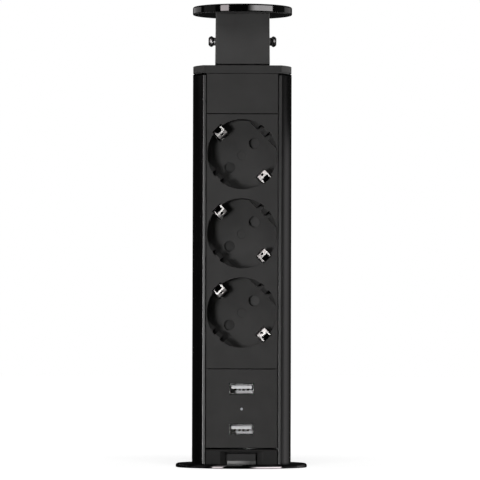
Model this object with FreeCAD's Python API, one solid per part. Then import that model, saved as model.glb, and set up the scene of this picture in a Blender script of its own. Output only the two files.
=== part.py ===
# Pull-up desk socket tower: three earthed round sockets and two USB-A ports in a D-shaped
# aluminium body that slides up through a round flange in a worktop. Millimetres.
# +Z is up and the flat front faces -Y. The origin is the centre of the flange's underside,
# where it lies on the worktop. The tower is drawn pulled up, resting on its catch.

import FreeCAD, Part
import math
import os

V = FreeCAD.Vector

# Sockets: 45 degree turned, 19 mm pin spacing
SOCKET_D = 38.2
SOCKET_RIM = 0.35
SOCKET_DEPTH = 17.5
SOCKET_WEB = 5.0
SOCKET_TOP_WEB = 2.7
SOCKET_BOTTOM_WEB = 11.55
SOCKET_COUNT = 3
SOCKET_TURN = 45.0
PIN_SPACING = 19.0
PIN_HOLE_D = 5.8
CUP_WALL = 1.4
CUP_GAP = 0.1
CUP_FLOOR_T = 1.6
LUG_IN = 3.1
LUG_GROOVE_W = 2.6
LUG_RIB_W = 3.4
LUG_SLOPE_W = 2.2
LUG_SLOPE_T = 3.7
CENTRE_MARK_D = 5.0
CENTRE_MARK_T = 0.3

# Body: extrusion round the sockets, with a flat front between two lips
FLAT_HALF_ANGLE = 52.155
BODY_WALL = 1.8
LIP_W = 1.4
LIP_T = 2.6
LIP_GROOVE = 0.55
CORNER_R = 0.5
RIB_T = 1.2
RIB_GAP = 0.4
PORT_D = 6.2
PORT_SLOT = 1.4
PORT_SINK = 0.4
PORT_GAP = 0.3

# Front panels
PANEL_INSET = 0.25
PANEL_TONGUE_T = 1.8
PANEL_FIT = 0.15
PANEL_SEAM = 0.25
BLANK_H = 22.05
USB_PANEL_H = 42.7
BASE_SHOW_H = 7.7
BASE_GAP = 0.9
BASE_EDGE = 0.7

# Shutters: a hub with two ramped blades on a pivot behind the socket's floor
SHUTTER_T = 2.2
SHUTTER_R = 12.6
SHUTTER_W = 7.0
SHUTTER_HUB_D = 9.2
SHUTTER_RAMP = 1.7
PIVOT_D = 4.0
PIVOT_PLAY = 0.08
SHUTTER_GAP = 0.2
SPRING_T = 0.8
SPRING_W = 0.7
SPRING_SLIT = 1.0
SPRING_ARM = 4.5
SPRING_PLAY = 0.1

# Earth clips and their cross strips; the clips' places are measured in from the socket's edge
CLIP_W = 5.6
CLIP_T = 0.9
CLIP_ROOT_IN = 3.7
CLIP_BULGE_IN = 4.9
CLIP_TIP_IN = 2.8
CLIP_OUT = 0.35
CLIP_FRONT = 3.8
CLIP_LEAD = 1.6
CLIP_NOSE = 0.4
CLIP_TILT = 0.45
CLIP_SPRING = 6.0
CLIP_HOLE_D = 1.6
CLIP_HOLE_IN = 3.65
CLIP_TAIL_W = 4.4
CLIP_PLAY = 0.45
CLIP_SLOT_WALL = 0.5
BRIDGE_T = 1.0
EARTH_BAR_W = 6.0
EARTH_BAR_T = 1.0
EARTH_BAR_TOP = 8.0
EARTH_BAR_TAIL = 14.0

# Live and neutral rails with their pin tulips, and what carries them
CARRIER_T = 9.0
CARRIER_END = 1.0
RAIL_SEAT = 5.0
RAIL_W = 5.0
RAIL_T = 1.0
RAIL_SHIFT = 1.0
RAIL_END = 6.4
RAIL_TAIL = 14.4
TULIP_D = 6.4
TULIP_BORE_D = 4.9
TULIP_L = 12.1
TULIP_COLLAR = 1.0
TULIP_SLIT = 0.7
TULIP_PLAY = 0.25
COVER_WALL = 1.3
COVER_GAP = 0.4

# USB-A ports and their board
USB_TOP_MARGIN = 10.6
USB_PITCH = 22.0
USB_W = 13.1
USB_H = 5.7
USB_WALL = 0.35
USB_EDGE_R = 0.5
USB_PLAY = 0.2
USB_SET_BACK = 0.35
USB_DEPTH = 14.2
LATCH_W = 2.2
LATCH_L = 2.6
LATCH_IN = 5.6
LATCH_X = 2.6
TONGUE_W = 11.1
TONGUE_T = 1.8
TONGUE_SET_BACK = 1.2
TONGUE_ROOT = 3.5
BOARD_T = 1.6
BOARD_W = 35.0
BOARD_MARGIN = 1.5
POST_D = 5.2
POST_IN = 3.0
POST_BITE = 6.0
LIGHT_D = 1.3
LIGHT_COLLAR_T = 1.2
CORE_W = 15.0
CORE_H = 16.0
CORE_T = 11.0
CORE_X = 6.5
CORE_BAR = 2.5
CORE_YOKE = 3.0
CORE_LEG = 4.0
COIL_D = 9.8
CAN_D = 8.0
CAN_L = 12.0
CAN_PITCH = 10.5
CAN_X = 9.5

# Cap, neck and lid
CAP_H = 4.4
CAP_IN = 0.1
CAP_GROOVE_H = 0.8
CAP_GROOVE_IN = 1.2
SPIGOT_H = 8.0
SPIGOT_WALL = 2.2
SPIGOT_PLAY = 0.2
SPIGOT_SET_BACK = 1.0
NECK_W = 29.9
NECK_TAPER = 0.45
NECK_D = 25.0
NECK_H = 28.6
NECK_WALL = 1.8
NECK_TOP_T = 2.2
NECK_EDGE_R = 0.9
NECK_GAP = 1.0
PLINTH_IN = 1.0
POST_CORE = 3.0
POST_TOP_GAP = 1.0
NECK_SCREW_RISE = 14.1
NECK_HEAD_D = 6.0
NECK_HEAD_H = 2.9
NECK_HEAD_TIP_D = 3.4
NECK_HEAD_FLARE = 1.0
NECK_HEAD_BULGE = 0.25
NECK_SCREW_L = 9.0
NECK_HEX = 2.0
NECK_HEX_T = 1.4
NECK_WASHER_D = 4.4
NECK_WASHER_T = 0.9
WASHER_LIFT = 0.02
LID_OVER = 0.15
LID_T = 4.3
LID_TOP_R = 0.8
LID_LOW_R = 0.5
LID_SKIN = 1.2
LID_SCREW_RING = 8.0

# Flange, sleeve and clamping ring; the sleeve fits a round hole in the worktop
BODY_PLAY = 0.4
SLEEVE_WALL = 2.2
SLEEVE_H = 62.0
SLEEVE_EDGE = 0.8
HOLE_PLAY = 0.3
FLANGE_RIM = 6.0
FLANGE_H = 2.3
FLANGE_EDGE_R = 1.4
FLANGE_EDGE = 0.3
LID_PLAY = 0.35
LID_SEAT = 0.1
LEDGE_T = 4.0
GASKET_W = 2.4
GASKET_T = 1.0
GASKET_PLAY = 0.05
GASKET_FROM_HOLE = 1.0
WORKTOP_T = 38.0
CLAMP_OVER = 7.0
WASHER_T = 2.0
WASHER_PLAY = 0.3
NUT_H = 11.0
NUT_WALL = 6.4
NUT_PLAY = 0.09
NUT_GAP = 0.05
NUT_EDGE = 0.8
NUT_FLANGE_T = 3.0
NUT_GRIPS = 12
NUT_GRIP_R = 3.2
NUT_GRIP_IN = 1.76

# Catch at the foot of the front
WINDOW_W = 17.2
WINDOW_RISE = 6.1
WINDOW_WALL = 3.3
WINDOW_BEVEL_W = 3.0
WINDOW_BEVEL_T = 2.1
WINDOW_BEVEL_RISE = 0.6
CATCH_TOP_PLAY = 0.8
CATCH_SIDE_PLAY = 0.9
CATCH_INSET = 0.3
CATCH_PRESS = 3.5
CATCH_WING = 1.6
CATCH_WING_T = 1.4
CATCH_WING_RISE = 1.0
CATCH_LIP_OUT = 2.2
CATCH_LIP_FOOT = 1.2
CATCH_LIP_TOP_OUT = 1.4
CATCH_LIP_RISE = 1.45
CATCH_SEAT = 0.1
CATCH_PLAY = 0.35
POCKET_WALL = 2.0
LEAF_T = 0.5
LEAF_SOLID = 0.9
LEAF_IN = 0.6
LEAF_LOW = 2.0
LEAF_HIGH = 1.0

# Foot, bottom cap, terminal block and cable gland
STOP_GAP = 0.25
FOOT_PLAY = 0.3
FOOT_H = 36.0
FOOT_WALL = 2.4
FOOT_TOP_T = 4.0
WIRE_HOLE_WEB = 6.4
WIRE_HOLE_BACK = 6.0
FOOT_BOSS_D = 6.4
FOOT_BOSS_H = 12.0
FOOT_BOSS_SINK = 0.6
BOTTOM_T = 4.0
BLOCK_SEAT_W = 20.0
BLOCK_SEAT_H = 8.0
BLOCK_SEAT_Y = 11.6
BLOCK_SEAT_D = 7.0
BLOCK_EDGE = 1.5
BLOCK_D = 6.0
BLOCK_H = 12.0
BLOCK_WAY_PITCH = 5.6
BLOCK_WAY_D = 3.2
BLOCK_WAY_IN = 3.6
BLOCK_SCREW_D = 2.9
BLOCK_SCREW_L = 2.6
BLOCK_SCREW_OUT = 0.2
BLOCK_SLOT_W = 0.6
GLAND_STUB_D = 16.0
GLAND_HEX = 22.0
GLAND_HEX_H = 4.6
GLAND_THREAD_D = 15.0
GLAND_THREAD_H = 5.0
GLAND_NUT_H = 13.0
GLAND_NUT_GAP = 0.4
GLAND_NUT_IN = 1.0
GLAND_DOME = 2.2
LOCKNUT_H = 4.0
LOCKNUT_PROUD = 1.0
CABLE_D = 8.4
CABLE_ROOM = 0.4
SEAL_WALL = 2.2
SEAL_H = 10.0
SEAL_OUT = 3.0

# Small fasteners
SCREW_D = 3.0
SCREW_HEAD_D = 5.4
SCREW_HEAD_H = 2.0
SCREW_BITE = 8.0
SCREW_RING_COUNT = 3
DRIVE_L = 3.2
DRIVE_W = 0.8
DRIVE_T = 1.2
HEX_SIDES = 6
SCREW_SKIN = 2.0
PORT_BITE = 12.0
SCREW_PLAY = 0.1
SLIP_FIT = 0.05

# How far a cutting tool passes the material, and how deep joined forms reach into each other
OVER = 1.0
JOIN = 0.5

# Radii and planes of the body
PANEL_W = SOCKET_D + 2 * SOCKET_RIM
OPENING_W = PANEL_W + 2 * LIP_GROOVE
CHORD_W = OPENING_W + 2 * LIP_W
R_OUT = CHORD_W / 2 / math.sin(math.radians(FLAT_HALF_ANGLE))
R_IN = R_OUT - BODY_WALL
FLAT_Y = -R_OUT * math.cos(math.radians(FLAT_HALF_ANGLE))
LIP_BACK = FLAT_Y + LIP_T
FACE_Y = FLAT_Y + PANEL_INSET
NOSE_BACK = LIP_BACK + PANEL_FIT
PLATE_BACK = NOSE_BACK + PANEL_TONGUE_T
R_FIT = R_IN - PANEL_FIT

# Depths behind the front, from the socket floor to the back of the contact cover
FLOOR_Y = FACE_Y + SOCKET_DEPTH
FLOOR_BACK = FLOOR_Y + CUP_FLOOR_T
SHUTTER_Y = FLOOR_BACK + SHUTTER_GAP
SPRING_Y = SHUTTER_Y + SHUTTER_T + SHUTTER_GAP
CUP_BACK = SPRING_Y + SPRING_T + SHUTTER_GAP
CARRIER_Y = CUP_BACK + CUP_GAP
CARRIER_BACK = CARRIER_Y + CARRIER_T
CARRIER_HEAD_Y = CARRIER_BACK - SCREW_HEAD_H - SCREW_PLAY
RAIL_Y = CARRIER_Y + RAIL_SEAT
TULIP_Y = CARRIER_Y + TULIP_PLAY
TULIP_BACK = TULIP_Y + TULIP_L
BRIDGE_Y = CARRIER_BACK + SCREW_PLAY / 2
BRIDGE_BACK = BRIDGE_Y + BRIDGE_T
COVER_BACK = TULIP_BACK + COVER_GAP + COVER_WALL
CUP_R = SOCKET_D / 2 + CUP_WALL
PORT_Y = CARRIER_Y + PORT_D / 2 + PORT_GAP
PORT_RING = R_IN - PORT_D / 2 + PORT_SINK
PORT_X = math.sqrt(PORT_RING ** 2 - PORT_Y ** 2)
CARRIER_HALF = PORT_X - PORT_D / 2 - COVER_GAP
CARRIER_SCREW_X = CARRIER_HALF - SCREW_HEAD_D / 2 - COVER_GAP
PIN_X = PIN_SPACING / 2 * math.cos(math.radians(SOCKET_TURN))
PIN_Z = PIN_SPACING / 2 * math.sin(math.radians(SOCKET_TURN))

# Heights of the flange and of what stands on it
LEDGE_TOP = FLANGE_H - LID_T - LID_SEAT
LEDGE_BOTTOM = LEDGE_TOP - LEDGE_T
FOOT_TOP = LEDGE_BOTTOM - STOP_GAP
FOOT_BOTTOM = FOOT_TOP - FOOT_H
BASE_TOP = FLANGE_H + BASE_SHOW_H
USB_Z = BASE_TOP + BASE_GAP
USB_TOP = USB_Z + USB_PANEL_H
STRIP_Z = USB_TOP + PANEL_SEAM
SOCKET_PITCH = SOCKET_D + SOCKET_WEB
STRIP_TOP = STRIP_Z + SOCKET_BOTTOM_WEB + SOCKET_COUNT * SOCKET_PITCH - SOCKET_WEB + SOCKET_TOP_WEB
BLANK_Z = STRIP_TOP + PANEL_SEAM
CAP_Z = BLANK_Z + BLANK_H
CAP_TOP = CAP_Z + CAP_H
CAP_HEAD_Z = CAP_TOP - SCREW_HEAD_H - 2 * SCREW_PLAY
NECK_Z = CAP_TOP + NECK_GAP
NECK_TOP = CAP_TOP + NECK_H
LID_TOP = NECK_TOP + LID_T
NECK_SCREW_Z = CAP_TOP + NECK_SCREW_RISE
TOP_SOCKET_Z = STRIP_TOP - SOCKET_TOP_WEB - SOCKET_D / 2
SOCKET_Z = [TOP_SOCKET_Z - i * SOCKET_PITCH for i in range(SOCKET_COUNT)]
USB_PORT_Z = [USB_TOP - USB_TOP_MARGIN, USB_TOP - USB_TOP_MARGIN - USB_PITCH]
LIGHT_Z = sum(USB_PORT_Z) / 2
BOARD_Y = FACE_Y + USB_DEPTH
BOARD_BACK = BOARD_Y + BOARD_T
POST_X = BOARD_W / 2 - POST_IN

# Radii of the flange, the sleeve and the foot
BORE_R = R_OUT + BODY_PLAY
SLEEVE_R = BORE_R + SLEEVE_WALL
HOLE_R = SLEEVE_R + HOLE_PLAY
FLANGE_R = HOLE_R + FLANGE_RIM
LID_R = R_OUT + LID_OVER
POCKET_R = LID_R + LID_PLAY
OPENING_FLAT_Y = FLAT_Y - BODY_PLAY
FOOT_R = BORE_R - FOOT_PLAY

# The catch and its window
WINDOW_TOP = FLANGE_H + WINDOW_RISE
CATCH_W = WINDOW_W - 2 * CATCH_SIDE_PLAY
CATCH_TOP = WINDOW_TOP - CATCH_TOP_PLAY
CATCH_BOTTOM = LEDGE_TOP + CATCH_SEAT
WINDOW_BOTTOM = CATCH_BOTTOM - CATCH_PLAY
CATCH_FACE = FACE_Y + CATCH_INSET
POCKET_Y = FACE_Y + WINDOW_WALL
WING_Y = POCKET_Y + PANEL_FIT
WING_BACK = WING_Y + CATCH_WING_T
POCKET_BACK = WING_BACK + CATCH_PRESS + LEAF_SOLID
BASE_BACK = POCKET_BACK + POCKET_WALL

# The foot, its cap and the gland
SPIGOT_R = R_IN - SPIGOT_PLAY
WIRE_HOLE_R = PORT_X - PORT_D / 2 - WIRE_HOLE_WEB
GLAND_Z = FOOT_BOTTOM - BOTTOM_T
GLAND_SEAL_Z = GLAND_Z - GLAND_HEX_H - GLAND_THREAD_H
SEAL_Z = GLAND_SEAL_Z - SEAL_OUT
BLOCK_Z = FOOT_BOTTOM + BLOCK_SEAT_H


def box(x0, x1, y0, y1, z0, z1):
    """Block between two corners."""
    return Part.makeBox(x1 - x0, y1 - y0, z1 - z0, V(x0, y0, z0))


def rod_z(radius, z0, z1, x=0.0, y=0.0):
    """Upright round bar."""
    return Part.makeCylinder(radius, z1 - z0, V(x, y, z0), V(0, 0, 1))


def rod_y(radius, y0, y1, x, z):
    """Round bar that runs from front to back."""
    return Part.makeCylinder(radius, y1 - y0, V(x, y0, z), V(0, 1, 0))


def rod_x(radius, x0, x1, z):
    """Round bar that runs from left to right through the axis."""
    return Part.makeCylinder(radius, x1 - x0, V(x0, 0, z), V(1, 0, 0))


def ring_z(outer, inner, z0, z1, x=0.0, y=0.0):
    """Upright tube."""
    return rod_z(outer, z0, z1, x, y).cut(rod_z(inner, z0 - OVER, z1 + OVER, x, y))


def d_prism(radius, flat_y, z0, z1):
    """Upright round bar with a flat that faces the front."""
    front = box(-2 * radius, 2 * radius, -2 * radius, flat_y, z0 - OVER, z1 + OVER)
    return rod_z(radius, z0, z1).cut(front)


def revolve(points):
    """Solid of revolution about Z from (radius, height) corners; an arc's end also names its middle."""
    edges = []
    for start, end in zip(points, points[1:] + points[:1]):
        first, last = V(start[0], 0, start[1]), V(end[0], 0, end[1])
        if len(end) == 4:
            edges.append(Part.Arc(first, V(end[2], 0, end[3]), last).toShape())
        else:
            edges.append(Part.LineSegment(first, last).toShape())
    face = Part.Face(Part.Wire(edges))
    return face.revolve(V(0, 0, 0), V(0, 0, 1), 360)


def prism_x(points, x0, x1):
    """Prism along X from (y, z) corners."""
    corners = [V(x0, y, z) for y, z in points]
    face = Part.Face(Part.makePolygon(corners + corners[:1]))
    return face.extrude(V(x1 - x0, 0, 0))


def prism_z(points, z0, z1):
    """Prism along Z from (x, y) corners."""
    corners = [V(x, y, z0) for x, y in points]
    face = Part.Face(Part.makePolygon(corners + corners[:1]))
    return face.extrude(V(0, 0, z1 - z0))


def rounded_rect(width, depth, radius, z):
    """Level rectangle with rounded corners, centred on Z."""
    hx, hy = width / 2, depth / 2
    bend = radius * (1 - math.sqrt(0.5))
    edges = []
    for sx, sy in ((1, 1), (-1, 1), (-1, -1), (1, -1)):
        near_x = V(sx * hx, sy * (hy - radius), z)
        near_y = V(sx * (hx - radius), sy * hy, z)
        middle = V(sx * (hx - bend), sy * (hy - bend), z)
        start, end = (near_x, near_y) if sx * sy > 0 else (near_y, near_x)
        if edges:
            edges.append(Part.LineSegment(edges[-1].Vertexes[-1].Point, start).toShape())
        edges.append(Part.Arc(start, middle, end).toShape())
    edges.append(Part.LineSegment(edges[-1].Vertexes[-1].Point, edges[0].Vertexes[0].Point).toShape())
    return Part.Wire(edges)


def turned(shape, z, angle):
    """Shape turned about a socket's axis, anticlockwise as seen from the front."""
    result = shape.copy()
    result.rotate(V(0, 0, z), V(0, -1, 0), angle)
    return result


def half_turned(shape):
    """Shape turned half way round the tower's axis."""
    result = shape.copy()
    result.rotate(V(0, 0, 0), V(0, 0, 1), 180)
    return result


def fused(*shapes):
    """One solid from several that meet."""
    return shapes[0].multiFuse(list(shapes[1:])).removeSplitter()


def ring_places(radius):
    """Screw places on a ring, the first at the back."""
    angles = [math.pi / 2 + 2 * math.pi * i / SCREW_RING_COUNT for i in range(SCREW_RING_COUNT)]
    return [(radius * math.cos(a), radius * math.sin(a)) for a in angles]


def hexagon(across, z0, z1):
    """Upright hexagonal bar."""
    r = across / math.sqrt(3)
    corners = [(r * math.cos(math.pi / 3 * i), r * math.sin(math.pi / 3 * i)) for i in range(HEX_SIDES)]
    return prism_z(corners, z0, z1)


def write(name, *solids):
    """One STEP file for a node; several separate solids form a group."""
    shape = solids[0] if len(solids) == 1 else Part.makeCompound(list(solids))
    shape.exportStep("parts/" + name + ".step")


def screw_y(x, z, head_y, tip_y):
    """Screw with a cross recess; its head is at the back and its tip towards the front."""
    top = head_y + SCREW_HEAD_H
    head = rod_y(SCREW_HEAD_D / 2, head_y, top, x, z)
    half, thin = DRIVE_L / 2, DRIVE_W / 2
    sizes = ((half, thin), (thin, half))
    cross = [box(x - a, x + a, top - DRIVE_T, top + OVER, z - b, z + b) for a, b in sizes]
    return fused(head, rod_y(SCREW_D / 2, tip_y, head_y, x, z)).cut(cross)


def screw_z(x, y, head_z, tip_z):
    """Upright screw with a cross recess; the head lies on the side of head_z away from the tip."""
    away = -1 if tip_z > head_z else 1
    head_end = head_z + away * SCREW_HEAD_H
    head = rod_z(SCREW_HEAD_D / 2, min(head_z, head_end), max(head_z, head_end), x, y)
    shank = rod_z(SCREW_D / 2, min(head_z, tip_z), max(head_z, tip_z), x, y)
    low, high = sorted((head_end - away * DRIVE_T, head_end + away * OVER))
    half, thin = DRIVE_L / 2, DRIVE_W / 2
    cross = [box(x - a, x + a, y - b, y + b, low, high) for a, b in ((half, thin), (thin, half))]
    return fused(head, shank).cut(cross)


def port_places():
    """Centres of the two screw ports inside the extrusion."""
    return [(-PORT_X, PORT_Y), (PORT_X, PORT_Y)]


def tower_profile():
    """D-shaped extrusion, open at the front between its lips, with ribs and screw ports."""
    z0, z1 = FOOT_TOP, CAP_Z
    shell = d_prism(R_OUT, FLAT_Y, z0, z1)
    corners = [e for e in shell.Edges if e.Length > (z1 - z0) / 2 and e.CenterOfMass.y < FLAT_Y + CORNER_R]
    shell = shell.makeFillet(CORNER_R, corners)
    shell = shell.cut(d_prism(R_IN, LIP_BACK, z0 - OVER, z1 + OVER))
    mouth = OPENING_W / 2
    shell = shell.cut(box(-mouth, mouth, FLAT_Y - OVER, LIP_BACK + OVER, z0 - OVER, z1 + OVER))
    rib_y = PLATE_BACK + PANEL_FIT
    rib_x = CUP_R + RIB_GAP
    ribs = rod_z(R_IN + BODY_WALL / 2, z0, z1).common(box(-R_OUT, R_OUT, rib_y, rib_y + RIB_T, z0, z1))
    ribs = ribs.cut(box(-rib_x, rib_x, rib_y - OVER, rib_y + RIB_T + OVER, z0 - OVER, z1 + OVER))
    pieces = [shell] + ribs.Solids
    for x, y in port_places():
        port = ring_z(PORT_D / 2, SCREW_D / 2, z0, z1, x, y)
        slot_x = sorted((x, x - math.copysign(PORT_D, x)))
        slot = box(slot_x[0], slot_x[1], y - PORT_SLOT / 2, y + PORT_SLOT / 2, z0 - OVER, z1 + OVER)
        pieces.append(port.cut(slot))
    body = fused(*pieces)
    return body.cut([rod_z(SCREW_D / 2, z0 - OVER, z1 + OVER, x, y) for x, y in port_places()])


def panel_plate(z0, z1):
    """Front panel: a nose between the lips and a wider tongue behind them."""
    nose = box(-PANEL_W / 2, PANEL_W / 2, FACE_Y, NOSE_BACK, z0, z1)
    tongue = rod_z(R_FIT, z0, z1).common(box(-R_FIT, R_FIT, NOSE_BACK, PLATE_BACK, z0, z1))
    return fused(nose, tongue)


def lug_slope(z, half):
    """Wedge that slopes the front edge of a guide lug, as a lead-in for the plug."""
    inner, front = SOCKET_D / 2 - LUG_IN, FACE_Y - OVER
    rise = OVER * LUG_SLOPE_W / LUG_SLOPE_T
    outer = inner + LUG_SLOPE_W + rise
    deep = FACE_Y + LUG_SLOPE_T
    wedge = [(inner - OVER, front), (outer, front), (inner, deep), (inner - OVER, deep)]
    return prism_z(wedge, z - half - OVER, z + half + OVER)


def recess_space(z, y0, y1):
    """Round space of a socket recess, less two guide lugs with two grooves each."""
    radius = SOCKET_D / 2
    space = rod_y(radius, y0, y1, 0, z)
    lug_half = math.sqrt(radius ** 2 - (radius - LUG_IN) ** 2) + JOIN
    lug = box(radius - LUG_IN, radius + OVER, y0 - OVER, y1 + OVER, z - lug_half, z + lug_half)
    lug = lug.cut(lug_slope(z, lug_half))
    middle = (LUG_RIB_W + LUG_GROOVE_W) / 2
    for groove_z in (z - middle, z + middle):
        low, high = groove_z - LUG_GROOVE_W / 2, groove_z + LUG_GROOVE_W / 2
        lug = lug.cut(box(0, radius + 2 * OVER, y0 - 2 * OVER, y1 + 2 * OVER, low, high))
    return space.cut([turned(lug, z, SOCKET_TURN), turned(lug, z, SOCKET_TURN + 180)])


def clip_slots(z, y0, y1):
    """Two slots at the recess wall that let the earth clips through."""
    half = CLIP_W / 2 + CLIP_PLAY
    inner = SOCKET_D / 2 - CLIP_BULGE_IN - CLIP_PLAY
    slot = box(inner, CUP_R - CLIP_SLOT_WALL, y0, y1, z - half, z + half)
    return [turned(slot, z, SOCKET_TURN + 90), turned(slot, z, SOCKET_TURN - 90)]


def carrier_screw_places():
    """Screws that join the contact carrier to the socket strip, between and below the sockets."""
    rows = [z - SOCKET_PITCH / 2 for z in SOCKET_Z[:-1]]
    rows.append(SOCKET_Z[-1] - CUP_R - SCREW_HEAD_D)
    return [(side * CARRIER_SCREW_X, z) for z in rows for side in (-1, 1)]


def socket_strip():
    """Front strip with three recess mouths and screw bosses behind."""
    plate = panel_plate(STRIP_Z, STRIP_TOP)
    bosses = [rod_y(SCREW_HEAD_D / 2, PLATE_BACK - JOIN, CARRIER_Y, x, z) for x, z in carrier_screw_places()]
    strip = fused(plate, *bosses)
    low = PLATE_BACK + SCREW_SKIN
    cuts = [rod_y(SCREW_D / 2, low, CARRIER_Y + OVER, x, z) for x, z in carrier_screw_places()]
    for z in SOCKET_Z:
        cuts.append(recess_space(z, FACE_Y - OVER, PLATE_BACK + OVER))
        cuts += clip_slots(z, FACE_Y - OVER, PLATE_BACK + OVER)
    return strip.cut(cuts)


def socket_cup(z):
    """Round cup of one socket: walls, guide lugs, floor with pin holes, and the shutter's chamber."""
    cup = rod_y(CUP_R, PLATE_BACK, CUP_BACK, 0, z)
    chamber = rod_y(SOCKET_D / 2, FLOOR_BACK, CUP_BACK + OVER, 0, z)
    mark = rod_y(CENTRE_MARK_D / 2, FLOOR_Y - OVER, FLOOR_Y + CENTRE_MARK_T, 0, z)
    cuts = [recess_space(z, PLATE_BACK - OVER, FLOOR_Y), chamber, mark]
    cup = cup.cut(cuts + clip_slots(z, PLATE_BACK - OVER, CUP_BACK + OVER))
    cup = fused(cup, rod_y(PIVOT_D / 2, FLOOR_BACK - JOIN, CUP_BACK, 0, z))
    return cup.cut([rod_y(PIN_HOLE_D / 2, FLOOR_Y - OVER, FLOOR_BACK + OVER, side * PIN_X, z + side * PIN_Z)
                    for side in (-1, 1)])


def shutter(z):
    """Turning shutter: a hub with two blades whose fronts slope, so that pins turn it aside."""
    y0, y1 = SHUTTER_Y, SHUTTER_Y + SHUTTER_T
    half = SHUTTER_W / 2
    blades = box(-SHUTTER_R, SHUTTER_R, y0, y1, z - half, z + half)
    blades = blades.common(rod_y(SHUTTER_R, y0, y1, 0, z))
    deep = y0 + SHUTTER_RAMP * (1 + OVER / SHUTTER_W)
    slope = [(y0 - OVER, z - half), (y0, z - half), (deep, z + half + OVER), (y0 - OVER, z + half + OVER)]
    ramp = prism_x(slope, 0, SHUTTER_R + OVER)
    blades = blades.cut([ramp, turned(ramp, z, 180)])
    body = fused(turned(blades, z, SOCKET_TURN), rod_y(SHUTTER_HUB_D / 2, y0, y1, 0, z))
    return body.cut(rod_y(PIVOT_D / 2 + PIVOT_PLAY, y0 - OVER, y1 + OVER, 0, z))


def shutter_spring(z):
    """Flat open ring spring round the pivot, with one arm."""
    y0, y1 = SPRING_Y, SPRING_Y + SPRING_T
    inner = PIVOT_D / 2 + SPRING_PLAY
    outer = inner + SPRING_W
    ring = rod_y(outer, y0, y1, 0, z).cut(rod_y(inner, y0 - OVER, y1 + OVER, 0, z))
    ring = ring.cut(box(0, outer + OVER, y0 - OVER, y1 + OVER, z - SPRING_SLIT / 2, z + SPRING_SLIT / 2))
    arm = box(-outer - SPRING_ARM, -(inner + outer) / 2, y0, y1, z - SPRING_W / 2, z + SPRING_W / 2)
    return turned(fused(ring, arm), z, SOCKET_TURN + 90)


def earth_clip(z):
    """Folded clip along local X: a bulged inner face, a sloping front web with a hole, two side legs."""
    edge = SOCKET_D / 2
    root, bulge, tip = edge - CLIP_ROOT_IN, edge - CLIP_BULGE_IN, edge - CLIP_TIP_IN
    out = edge + CLIP_OUT
    front = FACE_Y + CLIP_FRONT
    inner = [(root, FLOOR_Y), (bulge, FLOOR_Y - CLIP_SPRING)]
    nose = [(bulge, front + CLIP_LEAD), (bulge + CLIP_NOSE, front + CLIP_TILT), (tip, front)]
    outside = [(root, FLOOR_BACK)] + inner + nose + [(out, front), (out, FLOOR_BACK)]
    web = front + CLIP_TILT + CLIP_T
    hollow = [(root + CLIP_T, FLOOR_BACK + OVER)] + [(n + CLIP_T, y) for n, y in inner]
    hollow += [(bulge + CLIP_T, web), (tip + CLIP_T, web), (tip + CLIP_T, front - OVER)]
    hollow += [(out + OVER, front - OVER), (out + OVER, FLOOR_BACK + OVER)]
    half = CLIP_W / 2
    clip = prism_z(outside, z - half, z + half)
    clip = clip.cut(prism_z(hollow, z - half + CLIP_T, z + half - CLIP_T))
    clip = clip.cut(rod_y(CLIP_HOLE_D / 2, front - OVER, front + CLIP_LEAD, edge - CLIP_HOLE_IN, z))
    tail = box(root, root + CLIP_T, FLOOR_BACK - JOIN, BRIDGE_BACK, z - CLIP_TAIL_W / 2, z + CLIP_TAIL_W / 2)
    return fused(clip, tail)


def earth_bridge(z):
    """Stamped earth strip: a cross strip behind the carrier with a folded clip at each end."""
    clip = earth_clip(z)
    reach = SOCKET_D / 2 - CLIP_ROOT_IN + CLIP_T
    half = CLIP_TAIL_W / 2
    strip = box(-reach, reach, BRIDGE_Y, BRIDGE_BACK, z - half, z + half)
    ends = [turned(clip, z, SOCKET_TURN + 90), turned(clip, z, SOCKET_TURN - 90)]
    return fused(turned(strip, z, SOCKET_TURN + 90), *ends)


def earth_bar():
    """Upright bar behind the cross strips that joins them."""
    z0, z1 = SOCKET_Z[-1] - EARTH_BAR_TAIL, SOCKET_Z[0] + EARTH_BAR_TOP
    return box(-EARTH_BAR_W / 2, EARTH_BAR_W / 2, BRIDGE_BACK, BRIDGE_BACK + EARTH_BAR_T, z0, z1)


def pin_places(side):
    """Pin positions of one pole, from the top socket down."""
    return [(side * PIN_X, z + side * PIN_Z) for z in SOCKET_Z]


def rail_box(side, play, y1):
    """Block of a rail's strip, widened by a play."""
    places = pin_places(side)
    x = side * (PIN_X - RAIL_SHIFT)
    half = RAIL_W / 2 + play
    z0, z1 = places[-1][1] - RAIL_TAIL - play, places[0][1] + RAIL_END + play
    return box(x - half, x + half, RAIL_Y, y1, z0, z1)


def rail(side):
    """Pole rail: an upright strip with a slit contact tulip at each socket."""
    places = pin_places(side)
    tulips = [rod_y(TULIP_D / 2, TULIP_Y, TULIP_BACK, px, pz) for px, pz in places]
    body = fused(rail_box(side, 0, RAIL_Y + RAIL_T), *tulips)
    slit_y = RAIL_Y + RAIL_T + TULIP_COLLAR
    half = TULIP_D / 2 + OVER
    cuts = []
    for px, pz in places:
        cuts.append(rod_y(TULIP_BORE_D / 2, TULIP_Y - OVER, TULIP_BACK + OVER, px, pz))
        low, high = pz - TULIP_SLIT / 2, pz + TULIP_SLIT / 2
        cuts.append(box(px - half, px + half, slit_y, TULIP_BACK + OVER, low, high))
    return body.cut(cuts)


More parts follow.
